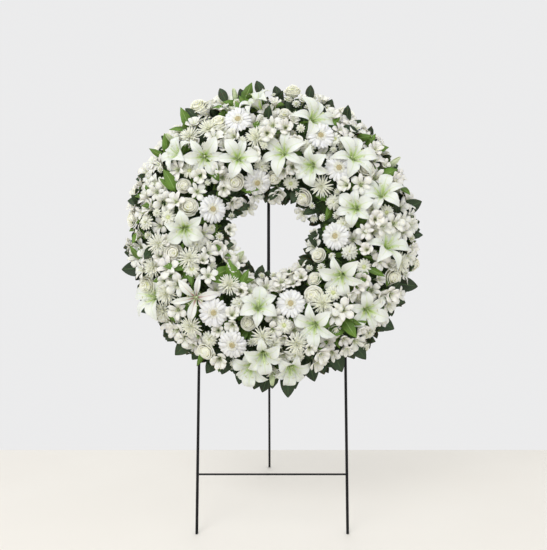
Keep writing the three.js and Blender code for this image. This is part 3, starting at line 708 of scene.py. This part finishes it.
def make_alstroemeria(name, openness=1.0):
    """A small open funnel of six petals, three broad and three narrow, with fine stamens."""
    lift = (1 - openness) * 1.1

    def petal(title, path):
        rows = [(width, out * openness, up + out * lift, cup) for width, out, up, cup in path]
        return open_petal(title, "alstroemeria", 2, rows, 0.8)

    broad = petal("alstro_broad", [
        (4, 2, -16, 0), (13, 8, -5, 1.4), (23, 18, 3, 2.4), (20, 27, 5, 1.5), (5, 33, 3, 0.3),
    ])
    narrow = petal("alstro_narrow", [
        (3, 2, -16, 0), (8, 7, -4, 1.2), (14, 16, 6, 2.0), (11, 25, 9, 1.0), (2, 31, 9, 0.2),
    ])
    thread = drawn("alstro_thread", "style", [
        (0, -1, -14, 0.6), (0, -3, 0, 0.5), (0, -7, 9, 0.9),
    ], 4)
    neck = turned("alstro_neck", "bud", [(-24, 1.4), (-18, 3.4), (-12, 4)], 7)
    parts = rounds(broad, (3, 0, 0, 1, 0, 0.1, 50)) + rounds(narrow, (3, 60, 0, 1, 0, 0.1, 51))
    parts += rounds(thread, (3, 20, 0, 1, 0, 0.1, 52))
    clear_away(broad, narrow, thread)
    return join(parts + [neck], name)


def make_lily_bud(name):
    """A long closed bud with six folds, greener at its base."""
    fold = wrapped_petal("bud_fold", "bud", 3, [
        (66, 3, -30), (70, 7.5, -18), (72, 9.5, 0), (70, 8.2, 20), (60, 4.5, 36), (30, 1.2, 43),
    ], 0.9)
    core = turned("bud_core", "bud", [(-36, 2.4), (-28, 3.6), (0, 8), (34, 3.5)], 9)
    parts = whorl(fold, 6, skew=3, wobble=0.03, seed=60)
    clear_away(fold)
    return join(parts + [core], name)


# ---- Leaves: each grows out along -Y from the origin, its face up ----
def make_leaves():
    return {
        kind: open_petal(f"{kind}_leaf", finish, across, rows, 0.7, smoothing)
        for kind, finish, across, smoothing, rows in (
            ("broad", "leaf", 4, 0, [
                (3, 0, 0, 0), (27, 14, 1.5, 2), (50, 34, 4, 5), (55, 56, 4.5, 5), (39, 80, 2, 3),
                (3, 100, -3, 0),
            ]),
            ("large", "leaf", 4, 1, [
                (3, 0, 0, 0), (30, 14, 1.5, 2), (54, 34, 4, 5), (57, 56, 4.5, 5), (40, 80, 2, 3),
                (2, 100, -3, 0),
            ]),
            ("mid", "bright_leaf", 2, 0, [
                (3, 0, 0, 0), (30, 16, 3, 2), (44, 40, 5, 4), (32, 66, 3, 2), (2, 92, -3, 0),
            ]),
            ("narrow", "bright_leaf", 2, 0, [
                (2, 0, 0, 0), (18, 14, 3, 1), (27, 34, 6, 2), (20, 56, 5, 1), (1.5, 76, 0, 0),
            ]),
        )
    }


# ---- Placing ----
def wreath_matrix():
    """The wreath's own frame: +Y up the lean, +Z forward, the origin in the middle of the hole."""
    turn = Matrix.Rotation(pi / 2 - LEAN, 4, "X")
    forward = (turn @ Vector((0, 0, 1, 0))).to_3d()
    return Matrix.Translation(ring_middle() - forward * TRAY_MIDDLE) @ turn


WREATH = wreath_matrix()


def radial(clock):
    angle = radians(clock)
    return Vector((sin(angle), cos(angle), 0))


def raised(flat, height):
    """A place in the wreath's plane, lifted forward of it."""
    return flat + Vector((0, 0, height))


def band_height(radius, crest):
    across = (radius - FLOWER_BAND) / FLANK
    return crest * sqrt(max(0.1, 1 - across * across))


def face_matrix(clock, radius, height, tilt, turn):
    """Where a head sits: its Z axis is the way it faces, tilted outward from straight forward."""
    outward = radial(clock)
    facing = outward * sin(tilt) + Vector((0, 0, cos(tilt)))
    sideways = Vector((outward.y, -outward.x, 0))
    basis = Matrix((sideways, facing.cross(sideways), facing)).transposed().to_4x4()
    place = Matrix.Translation(raised(outward * radius, height))
    return place @ basis @ Matrix.Rotation(turn, 4, "Z")


def root_in_foam(clock, radius, height):
    angle = atan2((height - FOAM_SHOULDER) / FOAM_CROWN, (radius - FOAM_BAND) / FOAM_HALF)
    reach = FOAM_BAND + (FOAM_HALF - ROOT_DEPTH) * cos(angle)
    return raised(radial(clock) * reach, FOAM_SHOULDER + (FOAM_CROWN - ROOT_DEPTH) * sin(angle))


def stem_to(matrix, neck, root, thickness):
    """A stem from under a head, given in the head's own frame, to its root in the foam."""
    end = matrix.inverted() @ root / MM
    return drawn("stem", "stem", [
        (0, 0, -neck, thickness * 0.8), (end.x * 0.3, end.y * 0.3, (end.z - neck) * 0.5, thickness),
        (end.x, end.y, end.z, thickness),
    ], 8)


def finish_piece(piece, nodes=()):
    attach(piece, STAND)
    if nodes:
        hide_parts(*nodes)


def plant(templates, places, name, crest, neck, stem, jitter=0, sway=8, node=""):
    """Copies blooms to their places over the band, taking the templates in turn.

    Each has a stem from its neck, this far under its face, to the foam. crest is how far forward
    a bloom stands on the band's crest, and jitter and sway unsettle its height and its facing.
    """
    for order, (clock, reach) in enumerate(places):
        title, radius = f"{name}_{order + 1}", reach * MM
        chance = random.Random(order * 7 + len(title))
        height = band_height(radius, crest * MM) + chance.uniform(-jitter, jitter) * MM
        across = max(-1.0, min(1.0, (radius - FLOWER_BAND) / FLANK))
        matrix = face_matrix(clock, radius, height, across * FLANK_TILT, order * SPIN_STEP)
        nod = Matrix.Rotation(chance.uniform(0, TURN), 4, "Z")
        droop = Matrix.Rotation(radians(chance.uniform(0, sway)), 4, "X")
        matrix = matrix @ nod @ droop @ nod.inverted()
        stalk = stem_to(matrix, neck, root_in_foam(clock, radius, height), stem)
        head = copy_of(templates[order % len(templates)], Matrix.Identity(4))
        whole = join([head, stalk], title)
        whole.data.transform(WREATH @ matrix)
        finish_piece(whole, (f"{node}_{order + 1}",) if node else ())


# ---- Settings a user may change ----
def colour(label, description, default):
    return FloatVectorProperty(
        name=label, description=description, default=default, size=3, min=0, max=1, subtype="COLOR",
    )


class WreathColours(bpy.types.PropertyGroup):
    lily: colour("Lilies", "Lily petals", (0.82, 0.84, 0.77))
    gerbera: colour("Gerberas", "Gerbera rays", (0.97, 0.97, 0.93))
    rose: colour("Roses", "Rose petals", (0.96, 0.955, 0.80))
    mum: colour("Chrysanthemums", "Petals of chrysanthemums and daisies", (0.96, 0.97, 0.80))
    alstroemeria: colour("Alstroemerias", "Small funnel blossoms", (0.92, 0.92, 0.82))
    throat_and_shade: colour("Throats", "Green at the heart of each lily", (0.5, 0.68, 0.17))
    leaf: colour("Broad leaves", "Dark leaves round both edges", (0.015, 0.029, 0.011))
    bright_leaf: colour("Narrow leaves", "Bright leaves between the flowers", (0.075, 0.145, 0.018))


class WreathSizes(bpy.types.PropertyGroup):
    opening: FloatProperty(
        name="Lily opening", description="How far lilies are open: 1 is full", default=1.0,
        min=0.6, max=1.0, subtype="FACTOR",
    )
    leaf_length: FloatProperty(
        name="Leaf length", description="Length of a broad leaf", default=0.1,
        min=0.07, max=0.12, unit="LENGTH",
    )
    stem: FloatProperty(
        name="Stem thickness", description="Radius of the thick flower stems", default=0.0025,
        min=0.0015, max=0.003, unit="LENGTH",
    )
    leaves: IntProperty(
        name="Filling leaves", description="Leaves tucked between the flowers of each sector",
        default=56, min=10, max=80,
    )


# ---- Operators ----
class Maker:
    """What the wreath's operators share."""

    bl_options = {"REGISTER", "UNDO"}

    @property
    def sizes(self):
        return bpy.context.scene.wreath_sizes

    @property
    def stem(self):
        return self.sizes.stem / MM


def dress(finish, *names):
    """Gives CAD parts that keep their shape a finish of their own."""
    for name in names:
        paint_all(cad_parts[name], finish)


class WREATH_OT_finishes(Maker, bpy.types.Operator):
    """Mix the finishes and give the easel, the tray and the foam theirs"""
    bl_idname = "wreath.finishes"
    bl_label = "Finishes"

    def execute(self, context):
        mix_finishes(context.scene.wreath_colours)
        dress("steel", "front_legs", "lower_crossbar", "centre_post", "rear_leg", "wreath_hook",
              "ring_peg_left", "ring_peg_right", "hinge_bracket")
        dress("zinc", "hinge_bolt", "hinge_nut")
        dress("tray", "ring_tray")
        dress("foam", "foam_ring")
        return {"FINISHED"}


class WREATH_OT_gerberas(Maker, bpy.types.Operator):
    """Nine gerberas with beige centres"""
    bl_idname = "wreath.gerberas"
    bl_label = "Gerberas"

    def execute(self, context):
        gerbera = make_gerbera("gerbera")
        plant([gerbera], GERBERAS, "gerbera_bloom", crest=152, neck=14,
              stem=self.stem, node="gerbera")
        clear_away(gerbera)
        return {"FINISHED"}


class WREATH_OT_lilies(Maker, bpy.types.Operator):
    """Open lilies with green throats, and long closed buds"""
    bl_idname = "wreath.lilies"
    bl_label = "Lilies"

    def execute(self, context):
        opening = self.sizes.opening
        kinds = [
            make_lily("lily", opening), make_lily("cupped_lily", opening * 0.9, 0.96),
            make_lily("half_open_lily", opening * 0.8),
        ]
        blushed = make_lily("blushed_lily", opening, 0.62, "blushed_lily")
        bud = make_lily_bud("bud")
        mixed = [kinds[(order * 2 + order // 3) % 3] for order in range(len(LILIES))]
        mixed[BLUSHED_LILY] = blushed
        plant(mixed, LILIES, "lily_bloom", crest=158, neck=43, stem=self.stem,
              jitter=5, sway=34, node="lily")
        plant(kinds[2:], EXTRA_LILIES, "side_lily", crest=152, neck=43, stem=2.4,
              jitter=2, sway=20)
        plant([bud], LILY_BUDS, "lily_bud", crest=150, neck=34, stem=2.2)
        clear_away(*kinds, blushed, bud)
        return {"FINISHED"}


class WREATH_OT_roses(Maker, bpy.types.Operator):
    """Ivory roses, open and half open"""
    bl_idname = "wreath.roses"
    bl_label = "Roses"

    def execute(self, context):
        closed, full = make_rose("closed_rose"), make_rose("open_rose", False)
        small = make_rose("small_rose", True, 0.76)
        plant([closed, closed, closed, full, closed], ROSES, "rose_bloom",
              crest=148, neck=28, stem=self.stem, jitter=2, sway=14, node="rose")
        plant([small], SMALL_ROSES, "half_open_rose", crest=142, neck=28, stem=2.2)
        clear_away(closed, full, small)
        return {"FINISHED"}


class WREATH_OT_chrysanthemums(Maker, bpy.types.Operator):
    """Spider chrysanthemums, daisies and buttons"""
    bl_idname = "wreath.chrysanthemums"
    bl_label = "Chrysanthemums and daisies"

    def execute(self, context):
        spider, button = make_spider_mum("spider"), make_button("button")
        single, double = make_daisy("single"), make_daisy("double", True)
        plant([spider], SPIDER_MUMS, "spider_mum", crest=151, neck=9, stem=2.0,
              jitter=4)
        plant([single, double], DAISIES, "daisy", crest=144, neck=7, stem=1.8,
              jitter=5)
        plant([button], BUTTONS, "button_bloom", crest=136, neck=3, stem=1.5,
              jitter=4)
        clear_away(spider, single, double, button)
        return {"FINISHED"}


def free_places(count, taken, reach, seed):
    """Places over the band, as (clock, radius), that keep their distance from those taken."""
    chance = random.Random(seed)
    spots = [(radial(clock) * radius, room) for clock, radius, room in taken]
    inner, outer = (limit ** 2 for limit in BLOSSOM_BAND)
    found = []
    for _ in range(TRIES * count):
        clock, radius = chance.uniform(0, 360), sqrt(chance.uniform(inner, outer))
        here = radial(clock) * radius
        edge = 446 + 20 * here.y / radius  # the band is seen to reach further at its top
        if radius < edge and all((here - spot).length > room + reach for spot, room in spots):
            found.append((clock, radius))
            spots.append((here, reach))
        if len(found) == count:
            break
    return found


def flower_rooms():
    """Each planted place with the room that its bloom or leaf takes round it, in millimetres."""
    return [(141, 365, 24)] + [
        (*place, room) for places, room in (
            (GERBERAS, 41), (LILIES, 38), (EXTRA_LILIES, 38), (ROSES, 26), (SMALL_ROSES, 18),
            (SPIDER_MUMS, 22), (DAISIES, 22), (BUTTONS, 10), (BRIGHT_LEAVES, 6),
        ) for place in places
    ]


class WREATH_OT_alstroemerias(Maker, bpy.types.Operator):
    """Sprays of small funnel blossoms, with buttons among them, that fill the gaps"""
    bl_idname = "wreath.alstroemerias"
    bl_label = "Alstroemerias"

    def execute(self, context):
        full, half = make_alstroemeria("blossom"), make_alstroemeria("half_blossom", 0.7)
        small = make_button("small")
        kinds = (full, full, full, half, half, small)
        places = free_places(230, flower_rooms(), reach=14, seed=5) + RIM_BLOSSOMS
        chance = random.Random(6)
        for spray in range(SPRAYS):
            parts = []
            for clock, reach in places:
                if int(clock // SPRAY_ANGLE) == spray:
                    radius = reach * MM
                    height = band_height(radius, chance.uniform(122, 164) * MM)
                    tilt = (radius - FLOWER_BAND) / FLANK * FLANK_TILT + chance.uniform(-0.4, 0.4)
                    parts += self.blossom(kinds, clock, radius, height, tilt, chance)
            for step in range(5):
                clock = spray * SPRAY_ANGLE + step * 6 + chance.uniform(1, 5)
                height = (16 + 24 * (step % 2)) * MM
                tilt = chance.uniform(1.2, 1.5)
                parts += self.blossom(kinds, clock, SIDE_RADIUS, height, tilt, chance)
            finish_piece(join(parts, f"alstroemeria_spray_{spray + 1}"))
        clear_away(full, half, small)
        return {"FINISHED"}

    def blossom(self, kinds, clock, radius, height, tilt, chance):
        template = chance.choice(kinds)
        matrix = face_matrix(clock, radius, height, tilt, chance.uniform(0, TURN))
        nod = Matrix.Rotation(chance.uniform(-0.4, 0.4), 4, "X")
        nod = nod @ Matrix.Scale(chance.uniform(0.85, 1.2), 4)
        stalk = stem_to(matrix, 22, root_in_foam(clock, radius, height), thickness=1.3)
        stalk.data.transform(WREATH @ matrix)
        return [copy_of(template, WREATH @ matrix @ nod), stalk]


def leaf_matrix(clock, radius, height, rise, sway, roll, length):
    """A leaf that starts here and grows outward, lifted by rise and swung sideways by sway."""
    outward = radial(clock)
    sideways = Vector((outward.y, -outward.x, 0))
    grow = outward * cos(rise) * cos(sway) + sideways * sin(sway)
    grow = raised(grow, sin(rise)).normalized()
    face = (Vector((0, 0, 1)) - grow * grow.z).normalized()
    basis = Matrix((face.cross(grow), -grow, face)).transposed().to_4x4()
    place = Matrix.Translation(raised(outward * radius, height))
    return place @ basis @ Matrix.Rotation(roll, 4, "Y") @ Matrix.Scale(length, 4)


def leaf_height(clock, radius, free, crowded):
    """Leaves stand lower under a large bloom than beside it."""
    here = radial(clock) * radius
    blooms = [radial(angle) * reach * MM for angle, reach in LILIES + EXTRA_LILIES + GERBERAS]
    covered = min((here - bloom).length for bloom in blooms) < BIG_BLOOM
    return band_height(radius, (crowded if covered else free) * MM)


def underlay(sector):
    """A mossy bed over the foam, one sector of the ring, closed and uneven."""
    profile = [
        (166, 6), (160, 22), (170, 44), (196, 62), (240, 72), (300, 75), (355, 70), (402, 56),
        (430, 34), (434, 16), (424, 2),
    ]
    rows = [(SECTOR_ANGLE, reach, up) for reach, up in profile]
    bed = wrapped_petal("bed", "moss", 14, rows, 3.0)
    editing(True)
    bpy.ops.mesh.select_all(action="SELECT")
    bpy.ops.transform.rotate(
        value=pi - radians(SECTOR_ANGLE * sector), orient_axis="Z",
        center_override=(0, 0, 0),
    )
    editing(False)
    bed.data.transform(WREATH)
    return bed


class LeafBed:
    """The leaves of one sector, on their bed of moss."""

    def __init__(self, sector, leaves, chance, scale):
        self.sector, self.leaves, self.chance, self.scale = sector, leaves, chance, scale
        self.parts = [underlay(sector)]

    def clock(self, share):
        """The clock angle at this share of the way through the sector."""
        return (self.sector - 0.5 + share) * SECTOR_ANGLE

    def mine(self, places):
        return [
            (clock, reach) for clock, reach in places
            if int((clock + SECTOR_ANGLE / 2) % 360 // SECTOR_ANGLE) == self.sector
        ]

    def swing(self, reach):
        return self.chance.uniform(-reach, reach)

    def grow(self, kind, *where):
        self.parts.append(copy_of(self.leaves[kind], WREATH @ leaf_matrix(*where)))

    def outer_edge(self):
        """Four leaves for each tip that shows past the outer edge, the larger ones low down."""
        for clock, tip in self.mine(OUTER_LEAVES):
            size = 1.0 if 75 < clock < 260 else 0.62
            for shift, drop, height, rise, kind in (
                (0, 0, 56, 0.04, "large"), (7, 12, 40, -0.05, "large"),
                (0, 16, 22, -0.1, "broad"), (7, 20, 8, -0.2, "broad"),
            ):
                length = self.chance.uniform(0.9, 1.0) * self.scale * size
                self.grow(kind, clock + shift, (tip - drop - 98 * length) * MM, height * MM, rise,
                          self.swing(0.3), self.swing(0.4), length)

    def outer_side(self):
        """Two rows of leaves that hide the band's outer side."""
        uniform = self.chance.uniform
        for step in range(18):
            self.grow("broad", self.clock((step + 0.5) / 18), uniform(398, 412) * MM,
                      (14 + 17 * (step % 3)) * MM, uniform(-0.5, 0.1), self.swing(0.7),
                      self.swing(0.6), uniform(0.45, 0.6) * self.scale)
        for step in range(22):
            self.grow(("broad", "mid", "broad")[step % 3],
                      self.clock((step + self.chance.random()) / 22), uniform(430, 437) * MM,
                      (2 + 16 * (step % 3)) * MM, uniform(0.7, 1.2), self.swing(0.9),
                      self.swing(0.5), uniform(0.42, 0.55) * self.scale)

    def inner_edge(self):
        for clock, reach in self.mine(INNER_LEAVES):
            for shift, height in ((-9, 50), (0, 74), (7, 20), (14, 38)):
                length = self.chance.uniform(0.5, 0.62) * self.scale
                self.grow("broad", clock + shift, (reach + 52) * MM, height * MM, pi - 0.25,
                          self.swing(0.5), self.swing(0.5), length)

    def bright_pairs(self):
        """A narrow and a wide bright leaf at each place, pointing away from the crest."""
        for clock, reach in self.mine(BRIGHT_LEAVES):
            inward = reach < 180
            radius = (reach + 55 if inward else reach - 34) * MM
            for kind, sway in (("narrow", -0.6), ("mid", 0.9)):
                self.grow(kind, clock, radius, leaf_height(clock, radius, 136, 96),
                          pi - 0.3 if inward else 0.3, sway + self.swing(0.9),
                          self.swing(0.6), 0.85)

    def between_flowers(self, count):
        uniform = self.chance.uniform
        for _ in range(count):
            clock, radius = self.clock(self.chance.random()), uniform(160, 430) * MM
            kind = self.chance.choice(("narrow", "mid", "mid", "broad", "broad"))
            self.grow(kind, clock, radius, leaf_height(clock, radius, 116, 84),
                      uniform(0.1, 0.9), self.swing(2.5), self.swing(0.8), uniform(0.45, 0.7))


class WREATH_OT_greenery(Maker, bpy.types.Operator):
    """The bed of leaves in six sectors, with the leaves of both edges"""
    bl_idname = "wreath.greenery"
    bl_label = "Greenery"

    def execute(self, context):
        leaves = make_leaves()
        chance = random.Random(9)
        for sector in range(SECTORS):
            bed = LeafBed(sector, leaves, chance, self.sizes.leaf_length / BROAD_LEAF)
            bed.outer_edge()
            bed.outer_side()
            bed.inner_edge()
            bed.bright_pairs()
            bed.between_flowers(self.sizes.leaves)
            whole = join(bed.parts, f"leaf_bed_{sector + 1}")
            finish_piece(whole, (f"greenery_{sector + 1}",))
        clear_away(*leaves.values())
        return {"FINISHED"}


class WREATH_OT_stage(Maker, bpy.types.Operator):
    """Floor, soft lights and the camera"""
    bl_idname = "wreath.stage"
    bl_label = "Stage"

    def execute(self, context):
        scene = context.scene
        scene.view_settings.view_transform = "Standard"
        self.floor((9, 3.552, 0.012), -1.224)
        for name, place, size, watts in (
            ("key", (-1.2, -2.4, 2.9), 1.5, 40), ("fill", (2.2, -2.8, 1.4), 2.8, 8),
            ("back", (0.2, 2.2, 2.6), 2.2, 14),
        ):
            self.light(name, place, size, watts)
        world = bpy.data.worlds.new("studio")
        world.use_nodes = True
        background = world.node_tree.nodes["Background"]
        background.inputs["Color"].default_value = (0.87, 0.87, 0.875, 1)
        background.inputs["Strength"].default_value = 0.96
        scene.world = world
        bpy.ops.object.camera_add(location=(0.004, -2.246, 0.911), rotation=(pi / 2, 0, 0))
        camera = context.object
        camera.name = "camera"
        camera.data.lens = 42.2
        camera.data.sensor_width = 36
        camera.data.shift_y = -0.0636
        scene.camera = camera
        return {"FINISHED"}

    def floor(self, size, middle):
        """A slab of this width, depth and thickness under the feet, its middle at this y."""
        width, depth, thickness = size
        let_go()
        bpy.ops.mesh.primitive_plane_add(size=1, location=(0, middle, -thickness / 2))
        slab = bpy.context.object
        slab.name = "floor"
        bpy.ops.transform.resize(value=(width, depth, 1), center_override=(0, middle, 0))
        bpy.ops.object.transform_apply(location=True, rotation=True, scale=True)
        add_and_apply(slab, "SOLIDIFY", thickness=thickness, offset=0.0)
        paint_all(slab, "floor")

    def light(self, name, place, size, watts):
        aim = Vector((0, -0.1, 0.85)) - Vector(place)
        facing = aim.to_track_quat("-Z", "Y").to_euler()
        bpy.ops.object.light_add(type="AREA", location=place, rotation=facing)
        lamp = bpy.context.object
        lamp.name = name
        lamp.data.size = size
        lamp.data.energy = watts


class WREATH_PT_panel(bpy.types.Panel):
    """Lists the pieces of the wreath and their settings"""
    bl_label = "Funeral wreath"
    bl_idname = "WREATH_PT_panel"
    bl_space_type = "VIEW_3D"
    bl_region_type = "UI"
    bl_category = "Wreath"

    def draw(self, context):
        for group in (context.scene.wreath_sizes, context.scene.wreath_colours):
            for name in group.bl_rna.properties.keys():
                if name not in ("rna_type", "name"):
                    self.layout.prop(group, name)
        for operator in OPERATORS:
            self.layout.operator(operator.bl_idname)


OPERATORS = (
    WREATH_OT_finishes, WREATH_OT_gerberas, WREATH_OT_lilies, WREATH_OT_roses,
    WREATH_OT_chrysanthemums, WREATH_OT_alstroemerias, WREATH_OT_greenery, WREATH_OT_stage,
)
CLASSES = (WreathColours, WreathSizes, *OPERATORS, WREATH_PT_panel)


def register():
    for each in CLASSES:
        bpy.utils.register_class(each)
    bpy.types.Scene.wreath_colours = PointerProperty(type=WreathColours)
    bpy.types.Scene.wreath_sizes = PointerProperty(type=WreathSizes)


def unregister():
    del bpy.types.Scene.wreath_sizes
    del bpy.types.Scene.wreath_colours
    for each in reversed(CLASSES):
        bpy.utils.unregister_class(each)


def main():
    register()
    for operator in OPERATORS:
        group, name = operator.bl_idname.split(".")
        getattr(getattr(bpy.ops, group), name)()
    let_go()


if __name__ == "__main__":
    main()
